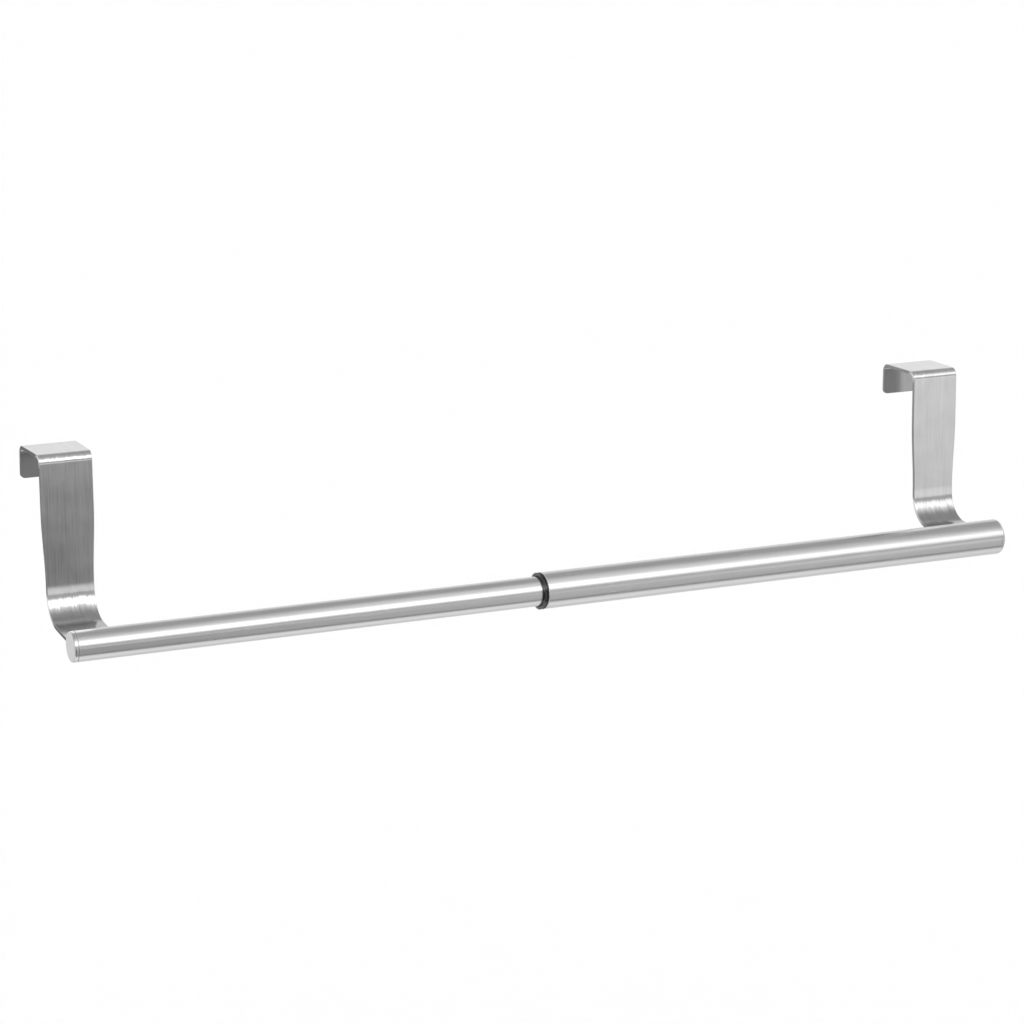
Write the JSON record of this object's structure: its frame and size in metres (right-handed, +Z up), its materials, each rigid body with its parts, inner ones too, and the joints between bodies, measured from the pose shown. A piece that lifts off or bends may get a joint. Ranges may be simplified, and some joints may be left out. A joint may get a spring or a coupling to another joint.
{
  "type": "over-door telescoping rail",
  "caption": "Telescoping steel rod held in front of a door by bent strap hooks that hang over its top edge, for garments or towels.",
  "frame": {"origin": "middle of the underside of the right hook's web, where it rests on the door's top edge", "axes": "+X along the rod towards the thick tube's closed end, -Y towards the person who uses it, +Z up"},
  "size_m": [0.4336, 0.0643, 0.0799],
  "materials": {
    "left_strap": "fine brushing along the strap",
    "right_strap": "fine brushing along the strap",
    "inner_tube": "satin, brushed along the tube",
    "outer_tube": "satin, brushed along the tube",
    "left_end_cap": "satin",
    "right_end_cap": "satin",
    "mouth_collar": "moulded black",
    "tail_bush": "moulded black"
  },
  "bodies": {
    "outer_half": {"outer_tube": "outer_tube", "right_strap": "right_strap", "right_end_cap": "right_end_cap", "mouth_collar": "mouth_collar"},
    "tail_slider": {"tail_bush": "tail_bush"},
    "inner_half": {"inner_tube": "inner_tube", "left_strap": "left_strap", "left_end_cap": "left_end_cap"}
  },
  "joints": [
    {"name": "rod_slide", "type": "slide", "parent": "outer_half", "child": "tail_slider", "axis": [1, 0, 0], "range_m": [0, 0.184]},
    {"name": "rod_twist", "type": "hinge", "parent": "tail_slider", "child": "inner_half", "pos_m": [-0.2, -0.04325, -0.0705], "axis": [1, 0, 0], "continuous": true}
  ]
}
